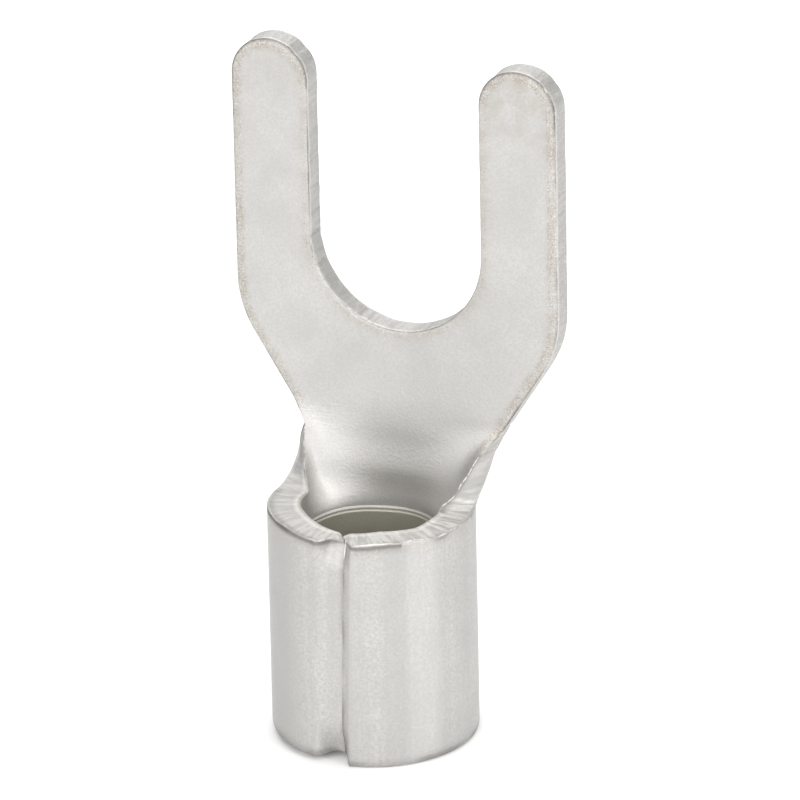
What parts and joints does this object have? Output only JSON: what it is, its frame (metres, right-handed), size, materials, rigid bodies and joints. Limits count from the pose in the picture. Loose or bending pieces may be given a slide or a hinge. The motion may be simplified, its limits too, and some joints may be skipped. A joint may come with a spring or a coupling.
{
  "type": "fork terminal",
  "caption": "Bare rolled-barrel crimp terminal with a flat open fork tongue: the barrel takes a stripped wire and the fork slides under a screw head.",
  "frame": {"origin": "on the barrel's axis at its lower end", "axes": "+Z along the barrel towards the prong tips, +Y to the back of the tongue, +X across the prongs; the butt seam is in front, near -Y"},
  "size_m": [0.01, 0.006, 0.02],
  "materials": {
    "tin_plate": "satin"
  },
  "bodies": {
    "root": {"fork_terminal": "tin_plate"}
  },
  "joints": []
}
